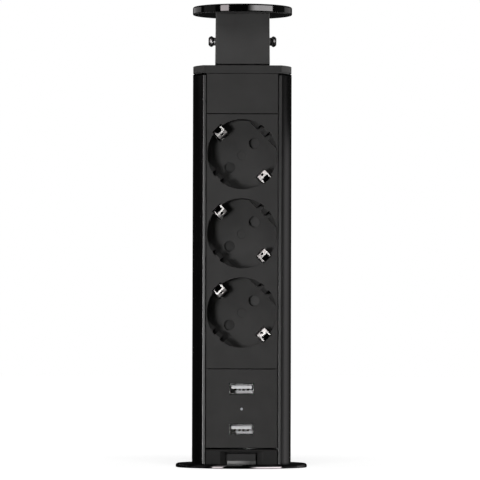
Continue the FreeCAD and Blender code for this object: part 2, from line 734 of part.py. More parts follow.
def contact_carrier():
    """Insulating block that holds the rails, with a bore for each tulip and slots for the clips."""
    z0, z1 = STRIP_Z + CARRIER_END, STRIP_TOP - CARRIER_END
    block = box(-CARRIER_HALF, CARRIER_HALF, CARRIER_Y, CARRIER_BACK, z0, z1)
    block = block.common(rod_z(R_FIT, z0, z1))
    front, back = CARRIER_Y - OVER, CARRIER_BACK + OVER
    cuts = []
    for side in (-1, 1):
        cuts.append(rail_box(side, TULIP_PLAY, back))
        cuts += [rod_y(TULIP_D / 2 + TULIP_PLAY, front, back, px, pz) for px, pz in pin_places(side)]
    root = SOCKET_D / 2 - CLIP_ROOT_IN
    half = CLIP_TAIL_W / 2 + TULIP_PLAY
    for z in SOCKET_Z:
        slot = box(root - TULIP_PLAY, root + CLIP_T + TULIP_PLAY, front, back, z - half, z + half)
        cuts += [turned(slot, z, SOCKET_TURN + 90), turned(slot, z, SOCKET_TURN - 90)]
    for x, z in carrier_screw_places():
        cuts.append(rod_y(SCREW_D / 2 + SCREW_PLAY, front, back, x, z))
        cuts.append(rod_y(SCREW_HEAD_D / 2 + SCREW_PLAY, CARRIER_HEAD_Y, back, x, z))
    return block.cut(cuts)


def carrier_screws():
    """Screws from the back of the carrier into the strip's bosses."""
    return [screw_y(x, z, CARRIER_HEAD_Y, CARRIER_Y - SCREW_BITE) for x, z in carrier_screw_places()]


def contact_cover():
    """Insulating trough that closes the back of the carrier."""
    z0, z1 = STRIP_Z + CARRIER_END, STRIP_TOP - CARRIER_END
    reach = SOCKET_D / 2 - CLIP_ROOT_IN + CLIP_T + CLIP_TAIL_W / 2
    inner_half = reach * math.sqrt(0.5) + COVER_GAP
    half = inner_half + COVER_WALL
    outer = box(-half, half, CARRIER_BACK, COVER_BACK, z0, z1).common(rod_z(R_FIT, z0, z1))
    z2, z3 = z0 + COVER_WALL, z1 - COVER_WALL
    inner = box(-inner_half, inner_half, CARRIER_BACK - OVER, COVER_BACK - COVER_WALL, z2, z3)
    inner = inner.common(rod_z(R_FIT - COVER_WALL, z2, z3))
    return outer.cut(inner)


def post_places():
    """Corner posts behind the USB panel, which carry the board."""
    z_low, z_high = USB_Z + BOARD_MARGIN + POST_IN, USB_TOP - BOARD_MARGIN - POST_IN
    return [(side * POST_X, z) for side in (-1, 1) for z in (z_low, z_high)]


def usb_panel():
    """Lower front panel with two port openings, a light hole and board posts."""
    panel = panel_plate(USB_Z, USB_TOP)
    posts = [rod_y(POST_D / 2, PLATE_BACK - JOIN, BOARD_Y, x, z) for x, z in post_places()]
    panel = fused(panel, *posts)
    front, back = FACE_Y - OVER, PLATE_BACK + OVER
    half_w, half_h = USB_W / 2 + USB_PLAY, USB_H / 2 + USB_PLAY
    cuts = [box(-half_w, half_w, front, back, z - half_h, z + half_h) for z in USB_PORT_Z]
    cuts.append(rod_y(LIGHT_D / 2 + SLIP_FIT, front, back, 0, LIGHT_Z))
    cuts += [rod_y(SCREW_D / 2, PLATE_BACK + SCREW_SKIN, BOARD_Y + OVER, x, z) for x, z in post_places()]
    return panel.cut(cuts)


def usb_shell(z):
    """Stamped port shell, a rectangular tube on the board with latch windows above and below."""
    y0 = FACE_Y + USB_SET_BACK
    w, h = USB_W / 2, USB_H / 2
    shell = box(-w, w, y0, BOARD_Y, z - h, z + h)
    edges = [e for e in shell.Edges if abs(e.Length - (BOARD_Y - y0)) < USB_WALL]
    shell = shell.makeFillet(USB_EDGE_R, edges)
    inner_w, inner_h = w - USB_WALL, h - USB_WALL
    cuts = [box(-inner_w, inner_w, y0 - OVER, BOARD_Y + OVER, z - inner_h, z + inner_h)]
    for side in (-1, 1):
        x0, x1 = side * LATCH_X - LATCH_W / 2, side * LATCH_X + LATCH_W / 2
        cuts.append(box(x0, x1, y0 + LATCH_IN, y0 + LATCH_IN + LATCH_L, z - h - OVER, z + h + OVER))
    return shell.cut(cuts)


def usb_tongue(z):
    """Insulator: a block at the back of the shell and a tongue along its upper half."""
    w, h = USB_W / 2 - USB_WALL - SLIP_FIT, USB_H / 2 - USB_WALL - SLIP_FIT
    root = box(-w, w, BOARD_Y - TONGUE_ROOT, BOARD_Y, z - h, z + h)
    tip_y = FACE_Y + USB_SET_BACK + TONGUE_SET_BACK
    tongue = box(-TONGUE_W / 2, TONGUE_W / 2, tip_y, BOARD_Y - JOIN, z, z + TONGUE_T)
    return fused(root, tongue)


def status_light():
    """Light pipe between the ports, with a collar behind the panel."""
    pipe = rod_y(LIGHT_D / 2, FACE_Y, BOARD_Y, 0, LIGHT_Z)
    return fused(pipe, rod_y(LIGHT_D, PLATE_BACK, PLATE_BACK + LIGHT_COLLAR_T, 0, LIGHT_Z))


def usb_circuit_board():
    """Upright board behind the ports."""
    half = BOARD_W / 2
    board = box(-half, half, BOARD_Y, BOARD_BACK, USB_Z + BOARD_MARGIN, USB_TOP - BOARD_MARGIN)
    radius = SCREW_D / 2 + SCREW_PLAY
    return board.cut([rod_y(radius, BOARD_Y - OVER, BOARD_BACK + OVER, x, z) for x, z in post_places()])


def usb_transformer():
    """Supply transformer: a core frame round a wound bobbin."""
    z, x = LIGHT_Z, CORE_X
    y0, y1 = BOARD_BACK, BOARD_BACK + CORE_T
    core = box(x - CORE_W / 2, x + CORE_W / 2, y0, y1, z - CORE_H / 2, z + CORE_H / 2)
    window = CORE_H / 2 - CORE_YOKE
    for side in (-1, 1):
        outer_x, inner_x = x + side * (CORE_W / 2 - CORE_BAR), x + side * CORE_LEG / 2
        low, high = min(outer_x, inner_x), max(outer_x, inner_x)
        core = core.cut(box(low, high, y0 - OVER, y1 + OVER, z - window, z + window))
    coil = rod_z(COIL_D / 2, z - window, z + window, x, (y0 + y1) / 2)
    return fused(core, coil)


def usb_capacitors():
    """Three round capacitors on the back of the board."""
    heights = [LIGHT_Z + row * CAN_PITCH for row in (-1, 0, 1)]
    return [rod_y(CAN_D / 2, BOARD_BACK, BOARD_BACK + CAN_L, -CAN_X, z) for z in heights]


def usb_board_screws():
    """Screws that hold the board to its posts."""
    return [screw_y(x, z, BOARD_BACK, BOARD_Y - POST_BITE) for x, z in post_places()]


def lid_screw_places():
    """Screws from inside the neck into the lid."""
    return ring_places(LID_SCREW_RING)


def lid_disc():
    """Round lid with softly rounded edges and three blind screw holes."""
    r, z0, z1 = LID_R, NECK_TOP, LID_TOP
    low, high = LID_LOW_R, LID_TOP_R
    k = 1 - math.sqrt(0.5)
    outline = [
        (0, z0),
        (r - low, z0),
        (r, z0 + low, r - low * k, z0 + low * k),
        (r, z1 - high),
        (r - high, z1, r - high * k, z1 - high * k),
        (0, z1),
    ]
    lid = revolve(outline)
    return lid.cut([rod_z(SCREW_D / 2, z0 - OVER, z1 - LID_SKIN, x, y) for x, y in lid_screw_places()])


def neck_width(z):
    """Width of the tapered neck at a height."""
    share = (z - NECK_Z) / (NECK_TOP - NECK_Z)
    return NECK_W - NECK_TAPER * share


def lid_neck():
    """Slightly tapered neck sleeve with a closed top."""
    top_w, low_w = neck_width(NECK_TOP), neck_width(NECK_Z)
    low_end = rounded_rect(low_w, NECK_D, NECK_EDGE_R, NECK_Z)
    outer = Part.makeLoft([low_end, rounded_rect(top_w, NECK_D, NECK_EDGE_R, NECK_TOP)], True, True)
    half_w, half_d = top_w / 2 - NECK_WALL, NECK_D / 2 - NECK_WALL
    under = NECK_TOP - NECK_TOP_T
    cuts = [box(-half_w, half_w, -half_d, half_d, NECK_Z - OVER, under)]
    radius = SCREW_D / 2 + SCREW_PLAY
    cuts.append(rod_x(radius, -NECK_W, NECK_W, NECK_SCREW_Z))
    cuts += [rod_z(radius, under - OVER, NECK_TOP + OVER, x, y) for x, y in lid_screw_places()]
    return outer.cut(cuts)


def lid_screws():
    """Screws with their heads under the neck's top."""
    head_z, tip_z = NECK_TOP - NECK_TOP_T, LID_TOP - LID_SKIN - SCREW_PLAY
    return [screw_z(x, y, head_z, tip_z) for x, y in lid_screw_places()]


def neck_screw(side):
    """Side screw of the neck: its head widens from the washer, is domed and has a hexagon socket."""
    face = neck_width(NECK_SCREW_Z) / 2 + NECK_WASHER_T
    collar, wide, tip = NECK_WASHER_D / 2, NECK_HEAD_D / 2, NECK_HEAD_TIP_D / 2
    middle_r = (wide + tip) / 2 + NECK_HEAD_BULGE
    middle_h = (NECK_HEAD_FLARE + NECK_HEAD_H) / 2 + NECK_HEAD_BULGE
    outline = [
        (0, 0),
        (collar, 0),
        (wide, NECK_HEAD_FLARE),
        (tip, NECK_HEAD_H, middle_r, middle_h),
        (0, NECK_HEAD_H),
    ]
    head = revolve(outline).cut(hexagon(NECK_HEX, NECK_HEAD_H - NECK_HEX_T, NECK_HEAD_H + OVER))
    head.rotate(V(0, 0, 0), V(0, 1, 0), 90)
    head.translate(V(face, 0, NECK_SCREW_Z))
    screw = fused(head, rod_x(SCREW_D / 2, face - NECK_SCREW_L, face, NECK_SCREW_Z))
    return screw if side > 0 else half_turned(screw)


def neck_washer(side):
    """Small washer between the screw head and the neck."""
    low = neck_width(NECK_Z) / 2
    face = neck_width(NECK_SCREW_Z) / 2
    washer = rod_x(NECK_WASHER_D / 2, face + WASHER_LIFT, face + NECK_WASHER_T, NECK_SCREW_Z)
    washer = washer.cut(rod_x(SCREW_D / 2 + SLIP_FIT, 0, low + NECK_WASHER_T + OVER, NECK_SCREW_Z))
    return washer if side > 0 else half_turned(washer)


def top_cap():
    """D-shaped cap with a shadow groove round its sides, a spigot below and the neck's post above."""
    groove_top = CAP_Z + CAP_GROOVE_H
    head = d_prism(R_OUT - CAP_IN, FLAT_Y, groove_top, CAP_TOP)
    rebate = d_prism(R_OUT - CAP_GROOVE_IN, FLAT_Y, CAP_Z, groove_top)
    wall = NECK_WALL + PANEL_FIT
    half_w, half_d = neck_width(NECK_TOP) / 2 - wall, NECK_D / 2 - wall
    post_top = NECK_TOP - NECK_TOP_T - SCREW_HEAD_H - POST_TOP_GAP
    post = box(-half_w, half_w, -half_d, half_d, CAP_TOP - JOIN, post_top)
    plinth_w, plinth_d = NECK_W / 2 - PLINTH_IN, NECK_D / 2 - PLINTH_IN
    plinth = box(-plinth_w, plinth_w, -plinth_d, plinth_d, CAP_TOP - JOIN, NECK_Z)
    flat = PLATE_BACK + RIB_T + SPIGOT_SET_BACK
    low = CAP_Z - SPIGOT_H
    spigot = d_prism(SPIGOT_R, flat, low, CAP_Z + JOIN)
    spigot = spigot.cut(d_prism(SPIGOT_R - SPIGOT_WALL, flat + SPIGOT_WALL, low - OVER, CAP_Z))
    spigot = spigot.cut([rod_z(PORT_D / 2 + PORT_GAP, low - OVER, CAP_Z, x, y) for x, y in port_places()])
    cap = fused(head, rebate, post, plinth, spigot)
    core_w, core_d = half_w - POST_CORE, half_d - POST_CORE
    cuts = [box(-core_w, core_w, -core_d, core_d, CAP_Z - OVER, post_top - POST_CORE)]
    for x, y in port_places():
        cuts.append(rod_z(SCREW_D / 2 + SCREW_PLAY, CAP_Z - OVER, CAP_TOP + OVER, x, y))
        cuts.append(rod_z(SCREW_HEAD_D / 2 + SCREW_PLAY, CAP_HEAD_Z, CAP_TOP + OVER, x, y))
    cuts.append(rod_x(SCREW_D / 2, -NECK_W / 2, NECK_W / 2, NECK_SCREW_Z))
    return cap.cut(cuts)


def cap_screws():
    """Screws through the cap into the extrusion's ports."""
    return [screw_z(x, y, CAP_HEAD_Z, CAP_Z - PORT_BITE) for x, y in port_places()]


def base_block():
    """Lowest front block, with a bevelled window and a pocket for the catch."""
    z0 = FOOT_TOP
    block = panel_plate(z0, BASE_TOP)
    block = fused(block, box(-CARRIER_HALF, CARRIER_HALF, PLATE_BACK - JOIN, BASE_BACK, z0, BASE_TOP))
    w = WINDOW_W / 2
    window = box(-w, w, FACE_Y - OVER, POCKET_Y + JOIN, WINDOW_BOTTOM, WINDOW_TOP)
    wing = w + CATCH_WING + CATCH_PLAY
    pocket = box(-wing, wing, POCKET_Y, POCKET_BACK, WINDOW_BOTTOM, CATCH_TOP + CATCH_PLAY)
    slope = w + WINDOW_BEVEL_W
    front, deep = FACE_Y - OVER, FACE_Y + WINDOW_BEVEL_T
    sides = [(-slope, FACE_Y), (-slope, front), (slope, front), (slope, FACE_Y), (w, deep), (-w, deep)]
    bevel = prism_z(sides, z0 - OVER, WINDOW_TOP + WINDOW_BEVEL_RISE)
    edge = [(front, BASE_TOP + OVER), (front, BASE_TOP - BASE_EDGE), (FACE_Y, BASE_TOP - BASE_EDGE),
            (FACE_Y + BASE_EDGE, BASE_TOP), (FACE_Y + BASE_EDGE, BASE_TOP + OVER)]
    return block.cut([window, pocket, bevel, prism_x(edge, -PANEL_W, PANEL_W)])


def catch_button():
    """Sprung catch: a pad in the window, wings that keep it in, and a flared lip at its foot."""
    w = CATCH_W / 2
    pad = box(-w, w, CATCH_FACE, WING_BACK, CATCH_BOTTOM, CATCH_TOP)
    wing = WINDOW_W / 2 + CATCH_WING
    wings = box(-wing, wing, WING_Y, WING_BACK, CATCH_BOTTOM + CATCH_WING_RISE, CATCH_TOP)
    lip_y = FACE_Y - CATCH_LIP_OUT
    back = CATCH_FACE + JOIN
    outline = [
        (back, CATCH_BOTTOM),
        (lip_y, CATCH_BOTTOM),
        (lip_y, CATCH_BOTTOM + CATCH_LIP_FOOT),
        (FACE_Y - CATCH_LIP_TOP_OUT, FLANGE_H),
        (CATCH_FACE, FLANGE_H + CATCH_LIP_RISE),
        (back, FLANGE_H + CATCH_LIP_RISE),
    ]
    return fused(pad, wings, prism_x(outline, -w, w))


def catch_spring():
    """Bowed leaf spring between the catch and the back of its pocket."""
    half = WINDOW_W / 2 + CATCH_WING - LEAF_IN
    z0, z1 = CATCH_BOTTOM + LEAF_LOW, CATCH_TOP - LEAF_HIGH
    crown, ends = WING_BACK + SLIP_FIT, POCKET_BACK - SLIP_FIT
    outer = Part.Arc(V(-half, ends - LEAF_T, z0), V(0, crown, z0), V(half, ends - LEAF_T, z0)).toShape()
    inner = Part.Arc(V(half, ends, z0), V(0, crown + LEAF_T, z0), V(-half, ends, z0)).toShape()
    right = Part.LineSegment(V(half, ends - LEAF_T, z0), V(half, ends, z0)).toShape()
    left = Part.LineSegment(V(-half, ends, z0), V(-half, ends - LEAF_T, z0)).toShape()
    face = Part.Face(Part.Wire([outer, right, inner, left]))
    return face.extrude(V(0, 0, z1 - z0))


def bottom_screw_places():
    """Screws that hold the bottom cap to the foot."""
    return ring_places(FOOT_R - FOOT_WALL - FOOT_BOSS_D / 2 + FOOT_BOSS_SINK)


def tower_foot():
    """Round foot that slides in the sleeve; its front shoulder stops under the flange's ledge."""
    z0, z1 = FOOT_BOTTOM, FOOT_TOP
    plate = z1 - FOOT_TOP_T
    foot = rod_z(FOOT_R, z0, z1).cut(rod_z(FOOT_R - FOOT_WALL, z0 - OVER, plate))
    flat = BASE_BACK + PORT_GAP
    high = z1 + SPIGOT_H
    spigot = d_prism(SPIGOT_R, flat, z1 - JOIN, high)
    spigot = spigot.cut(d_prism(SPIGOT_R - SPIGOT_WALL, flat + SPIGOT_WALL, z1 - OVER, high + OVER))
    spigot = spigot.cut([rod_z(PORT_D / 2 + PORT_GAP, z1, high + OVER, x, y) for x, y in port_places()])
    bosses = [rod_z(FOOT_BOSS_D / 2, z0, z0 + FOOT_BOSS_H, x, y) for x, y in bottom_screw_places()]
    foot = fused(foot, *(spigot.Solids + bosses))
    cuts = [rod_z(WIRE_HOLE_R, plate - OVER, z1 + OVER, 0, WIRE_HOLE_BACK)]
    for x, y in port_places():
        cuts.append(rod_z(SCREW_D / 2 + SCREW_PLAY, plate - OVER, z1 + OVER, x, y))
        cuts.append(rod_z(SCREW_HEAD_D / 2 + SCREW_PLAY, z0 - OVER, plate, x, y))
    hole_top = z0 + SCREW_BITE + SCREW_SKIN
    cuts += [rod_z(SCREW_D / 2, z0 - OVER, hole_top, x, y) for x, y in bottom_screw_places()]
    return foot.cut(cuts)


def foot_screws():
    """Screws from inside the foot up into the extrusion's ports."""
    return [screw_z(x, y, FOOT_TOP - FOOT_TOP_T, FOOT_TOP + PORT_BITE) for x, y in port_places()]


def bottom_cap():
    """Disc that closes the foot, with the gland's hole and the terminal block's seat."""
    z0, z1 = GLAND_Z, FOOT_BOTTOM
    half = BLOCK_SEAT_W / 2
    seat = box(-half, half, BLOCK_SEAT_Y, BLOCK_SEAT_Y + BLOCK_SEAT_D, z1 - JOIN, BLOCK_Z)
    cap = fused(rod_z(FOOT_R, z0, z1), seat)
    cuts = [rod_z(GLAND_STUB_D / 2 + SCREW_PLAY, z0 - OVER, z1 + OVER)]
    for x, y in bottom_screw_places():
        cuts.append(rod_z(SCREW_D / 2 + SCREW_PLAY, z0 - OVER, z1 + OVER, x, y))
        cuts.append(rod_z(FOOT_BOSS_D / 2 + PORT_GAP, z1, z1 + FOOT_BOSS_H, x, y))
    return cap.cut(cuts)


def bottom_cap_screws():
    """Screws from below into the foot."""
    return [screw_z(x, y, GLAND_Z, FOOT_BOTTOM + SCREW_BITE) for x, y in bottom_screw_places()]


def terminal_ways():
    """Middles of the terminal block's three ways."""
    return [way * BLOCK_WAY_PITCH for way in (-1, 0, 1)]


def terminal_block():
    """Three-way terminal block on its seat."""
    half = BLOCK_SEAT_W / 2 - BLOCK_EDGE
    y0, y1 = BLOCK_SEAT_Y, BLOCK_SEAT_Y + BLOCK_D
    block = box(-half, half, y0, y1, BLOCK_Z, BLOCK_Z + BLOCK_H)
    z0, z1 = BLOCK_Z - OVER, BLOCK_Z + BLOCK_H + OVER
    way_y = y0 + BLOCK_WAY_IN
    bore = BLOCK_SCREW_D / 2 + SLIP_FIT
    cuts = [rod_z(BLOCK_WAY_D / 2, z0, z1, x, way_y) for x in terminal_ways()]
    cuts += [rod_y(bore, y0 - OVER, way_y, x, BLOCK_Z + BLOCK_H / 2) for x in terminal_ways()]
    return block.cut(cuts)


def terminal_screw(x):
    """Slotted clamp screw in the block's front."""
    y0 = BLOCK_SEAT_Y - BLOCK_SCREW_OUT
    z = BLOCK_Z + BLOCK_H / 2
    half, slot_w = BLOCK_SCREW_D, BLOCK_SLOT_W / 2
    slot = box(x - half, x + half, y0 - OVER, y0 + DRIVE_W, z - slot_w, z + slot_w)
    return rod_y(BLOCK_SCREW_D / 2, y0, y0 + BLOCK_SCREW_L, x, z).cut(slot)


def cable_gland():
    """Gland body: hexagon under the cap, stub through it and a threaded cup below."""
    top = FOOT_BOTTOM + LOCKNUT_H + LOCKNUT_PROUD
    stub = rod_z(GLAND_STUB_D / 2, GLAND_Z - JOIN, top)
    collar = hexagon(GLAND_HEX, GLAND_Z - GLAND_HEX_H, GLAND_Z)
    cup = rod_z(GLAND_THREAD_D / 2, GLAND_SEAL_Z, GLAND_Z - GLAND_HEX_H + JOIN)
    body = fused(stub, collar, cup)
    bore = rod_z(CABLE_D / 2 + CABLE_ROOM, GLAND_SEAL_Z - OVER, top + OVER)
    seat = rod_z(CABLE_D / 2 + SEAL_WALL + SLIP_FIT, GLAND_SEAL_Z - OVER, SEAL_Z + SEAL_H)
    return body.cut([bore, seat])


def gland_locknut():
    """Locknut inside the foot."""
    nut = hexagon(GLAND_HEX, FOOT_BOTTOM, FOOT_BOTTOM + LOCKNUT_H)
    radius = GLAND_STUB_D / 2 + SLIP_FIT
    return nut.cut(rod_z(radius, FOOT_BOTTOM - OVER, FOOT_BOTTOM + LOCKNUT_H + OVER))


def gland_seal():
    """Rubber sleeve that grips the cable."""
    return ring_z(CABLE_D / 2 + SEAL_WALL, CABLE_D / 2, SEAL_Z, SEAL_Z + SEAL_H)


def gland_nut():
    """Domed nut that squeezes the seal."""
    top = GLAND_Z - GLAND_HEX_H - GLAND_NUT_GAP
    z0 = top - GLAND_NUT_H
    outer = hexagon(GLAND_HEX - GLAND_NUT_IN, z0, top)
    outer = outer.common(Part.makeSphere(GLAND_HEX / 2 + GLAND_DOME, V(0, 0, top)))
    cuts = [rod_z(GLAND_THREAD_D / 2 + SLIP_FIT, GLAND_SEAL_Z - GLAND_NUT_GAP, top + OVER),
            rod_z(CABLE_D / 2 + SEAL_WALL + SLIP_FIT, SEAL_Z - SLIP_FIT, top + OVER),
            rod_z(CABLE_D / 2 + CABLE_ROOM, z0 - OVER, top + OVER)]
    return outer.cut(cuts)


def mounting_flange():
    """Flange ring with the lid's pocket, the threaded sleeve below and the ledge in front."""
    r, h, e = FLANGE_R, FLANGE_H, FLANGE_EDGE_R
    k = 1 - math.sqrt(0.5)
    outline = [
        (POCKET_R + FLANGE_EDGE, h),
        (r - e, h),
        (r, h - e, r - e * k, h - e * k),
        (r, FLANGE_EDGE),
        (r - FLANGE_EDGE, 0.0),
        (SLEEVE_R, 0.0),
        (SLEEVE_R, -SLEEVE_H + SLEEVE_EDGE),
        (SLEEVE_R - SLEEVE_EDGE, -SLEEVE_H),
        (BORE_R, -SLEEVE_H),
        (BORE_R, LEDGE_TOP),
        (POCKET_R, LEDGE_TOP),
        (POCKET_R, h - FLANGE_EDGE),
    ]
    ring = revolve(outline)
    ledge = rod_z(BORE_R + SLEEVE_WALL / 2, LEDGE_BOTTOM, LEDGE_TOP)
    ledge = ledge.common(box(-FLANGE_R, FLANGE_R, -FLANGE_R, OPENING_FLAT_Y, LEDGE_BOTTOM, LEDGE_TOP))
    inner = HOLE_R + GASKET_FROM_HOLE
    groove = ring_z(inner + GASKET_W, inner, -OVER, GASKET_T)
    return fused(ring, ledge).cut(groove)


def flange_gasket():
    """Flat ring seal in the groove under the flange."""
    inner = HOLE_R + GASKET_FROM_HOLE + GASKET_PLAY
    return ring_z(inner + GASKET_W - 2 * GASKET_PLAY, inner, 0.0, GASKET_T)


def clamp_washer():
    """Flat ring that bears on the underside of the worktop."""
    return ring_z(HOLE_R + CLAMP_OVER, SLEEVE_R + WASHER_PLAY, -WORKTOP_T - WASHER_T, -WORKTOP_T)


def clamp_nut():
    """Large ring nut with finger grips, on the sleeve's thread."""
    z1 = -WORKTOP_T - WASHER_T - NUT_GAP
    z0 = z1 - NUT_H
    outer_r = SLEEVE_R + NUT_WALL
    nut = rod_z(outer_r, z0, z1)
    rims = [e for e in nut.Edges if len(e.Vertexes) == 1]
    nut = nut.makeChamfer(NUT_EDGE, rims)
    cuts = [rod_z(SLEEVE_R + NUT_PLAY, z0 - OVER, z1 + OVER)]
    ring = outer_r + NUT_GRIP_R - NUT_GRIP_IN
    for i in range(NUT_GRIPS):
        a = 2 * math.pi * i / NUT_GRIPS
        cuts.append(rod_z(NUT_GRIP_R, z0 - OVER, z1 - NUT_FLANGE_T, ring * math.cos(a), ring * math.sin(a)))
    return nut.cut(cuts)


def write_sockets():
    """The pieces that repeat at each socket."""
    for number, z in enumerate(SOCKET_Z, 1):
        write("socket_cup_%d" % number, socket_cup(z))
        write("shutter_%d" % number, shutter(z))
        write("earth_bridge_%d" % number, earth_bridge(z))
    write("shutter_springs", *[shutter_spring(z) for z in SOCKET_Z])


def write_usb():
    """The two ports, their board and what stands on it."""
    write("usb_panel", usb_panel())
    for name, z in zip(("upper", "lower"), USB_PORT_Z):
        write("usb_shell_" + name, usb_shell(z))
        write("usb_tongue_" + name, usb_tongue(z))
    write("status_light", status_light())
    write("usb_circuit_board", usb_circuit_board())
    write("usb_transformer", usb_transformer())
    write("usb_capacitors", *usb_capacitors())
    write("usb_board_screws", *usb_board_screws())


def main():
    """Write every piece of the tower and of its mounting."""
    os.makedirs("parts", exist_ok=True)
    write("lid_disc", lid_disc())
    write("lid_screws", *lid_screws())
    write("lid_neck", lid_neck())
    write("neck_screws", neck_screw(-1), neck_screw(1))
    write("neck_washers", neck_washer(-1), neck_washer(1))
    write("top_cap", top_cap())
    write("cap_screws", *cap_screws())
    write("tower_profile", tower_profile())
    write("blank_panel", panel_plate(BLANK_Z, CAP_Z))
    write("socket_strip", socket_strip())
    write_sockets()
    write("contact_carrier", contact_carrier())
    write("carrier_screws", *carrier_screws())
    write("live_rail", rail(1))
    write("neutral_rail", rail(-1))
    write("earth_bar", earth_bar())
    write("contact_cover", contact_cover())
    write_usb()
    write("base_block", base_block())
    write("catch_button", catch_button())
    write("catch_spring", catch_spring())
    write("tower_foot", tower_foot())
    write("foot_screws", *foot_screws())
    write("bottom_cap", bottom_cap())
    write("bottom_cap_screws", *bottom_cap_screws())
    write("terminal_block", terminal_block())
    write("terminal_screws", *[terminal_screw(x) for x in terminal_ways()])
    write("cable_gland", cable_gland())
    write("gland_locknut", gland_locknut())
    write("gland_seal", gland_seal())
    write("gland_nut", gland_nut())
    write("mounting_flange", mounting_flange())
    write("flange_gasket", flange_gasket())
    write("clamp_washer", clamp_washer())
    write("clamp_nut", clamp_nut())


main()
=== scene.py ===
import math

import bmesh
import bpy
from mathutils import Matrix, Vector

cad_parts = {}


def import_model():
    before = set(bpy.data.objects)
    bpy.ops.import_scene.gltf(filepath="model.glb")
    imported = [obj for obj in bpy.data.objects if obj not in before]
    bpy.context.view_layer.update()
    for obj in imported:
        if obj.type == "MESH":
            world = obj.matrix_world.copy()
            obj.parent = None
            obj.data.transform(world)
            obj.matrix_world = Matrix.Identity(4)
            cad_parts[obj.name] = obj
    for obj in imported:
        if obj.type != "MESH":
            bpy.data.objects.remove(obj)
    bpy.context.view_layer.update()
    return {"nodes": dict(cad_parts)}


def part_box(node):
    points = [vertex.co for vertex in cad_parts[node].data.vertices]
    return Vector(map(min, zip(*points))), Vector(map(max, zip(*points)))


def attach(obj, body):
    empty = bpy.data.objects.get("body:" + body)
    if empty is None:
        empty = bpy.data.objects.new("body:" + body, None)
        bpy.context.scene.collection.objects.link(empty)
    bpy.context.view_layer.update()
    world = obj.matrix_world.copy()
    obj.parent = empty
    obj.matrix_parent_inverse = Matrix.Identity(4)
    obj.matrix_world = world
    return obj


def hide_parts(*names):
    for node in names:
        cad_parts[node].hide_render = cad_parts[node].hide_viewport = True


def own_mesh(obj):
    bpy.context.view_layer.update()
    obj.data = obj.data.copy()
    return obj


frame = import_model()
NODES = frame["nodes"]

MM = 0.001

# Camera: place in metres, angles in radians, lens and sensor in millimetres
CAMERA_DISTANCE = 2.2418
CAMERA_AZIMUTH = math.radians(-0.366)
CAMERA_HEIGHT = 0.0674
CAMERA_PITCH = math.radians(1.458)
CAMERA_YAW = 0.00046
CAMERA_ROLL = math.radians(0.161)
CAMERA_LENS = 306.4
CAMERA_SENSOR = 36.0
CAMERA_CLIP = (0.05, 50)

# Painted shade in the joints between the front panels, at heights taken from the frame
PANEL_LOW, PANEL_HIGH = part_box("blank_panel")
JOINT_LEVELS = (PANEL_LOW.z, PANEL_HIGH.z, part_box("socket_strip")[0].z)
JOINT_SHADE_HALF = 0.22 * MM
JOINT_SHADE_GREY = 4

# Shade on the extrusion, just under the cap
PROFILE_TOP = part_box("tower_profile")[1].z
CAP_SHADOW = 1.1 * MM
CAP_SHADOW_EDGE = 0.1 * MM

# Faces of the extrusion that count as its front, by the Y of their normal
FRONT_FROM, FRONT_TO = -0.7, -0.4

# Painted highlight on the lip of the catch: the Z of its normal, and where the highlight is strong
# and weak
LIP_FACING = 0.76
LIP_FACING_SPAN = 0.1
LIP_HIGHLIGHT_FROM, LIP_HIGHLIGHT_TO = -3 * MM, 5 * MM

# Contacts under the tongues of the USB ports
TONGUES = ("usb_tongue_upper", "usb_tongue_lower")
CONTACT_PLACES = (-3.5 * MM, -1.0 * MM, 1.0 * MM, 3.5 * MM)
CONTACT_W = 1.25 * MM
CONTACT_DROP = 1.0 * MM
CONTACT_L = 8 * MM
CONTACT_INSET = 0.6 * MM
CONTACT_SINK = 0.02 * MM
BEND_FROM = 1.6 * MM
BEND_L = 1.2 * MM

# Leaf spring behind the catch
LEAF_T = 0.5 * MM
LEAF_STEPS = 40

# Worktop, with a hole for the sleeve. Between the near and the far distance, the camera sees its
# grey lifted to white.
GASKET_RIM = 3.5 * MM
HOLE_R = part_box("flange_gasket")[1].x - GASKET_RIM
FLOOR_R = 6.0
FLOOR_STEPS = 96
FLOOR_NEAR, FLOOR_FAR = 0.05, 0.50
FLOOR_LIFT_NEAR, FLOOR_LIFT_FAR = 0.79, 1.0

# Edges of the CAD nodes that stay sharp
SHARP_ANGLE = math.radians(32)

# Light of the room, and the colours of the cards
ROOM_LEVEL = 0.008
WHITE = (1, 1, 1, 1)
WARM = (1, 0.91, 0.93, 1)
COOL = (1, 0.97, 0.98, 1)
PINK = (1, 0.88, 0.92, 1)

# Lamps: azimuth in degrees to the right of the front, distance, height, width and height of the
# lamp, share of full light at the axis, height aimed at, and whether gloss shows it
LAMPS = {
    "key": (-18, 0.80, 0.055, 0.12, 0.12, 0.66, 0.11, True),
    "left": (-88, 0.60, 0.12, 0.25, 0.20, 1.00, 0.12, False),
    "right": (108, 0.80, 0.15, 0.35, 0.22, 3.60, 0.12, False),
    "above": (0, 1.20, 1.00, 0.60, 0.60, 0.40, 0.12, False),
}

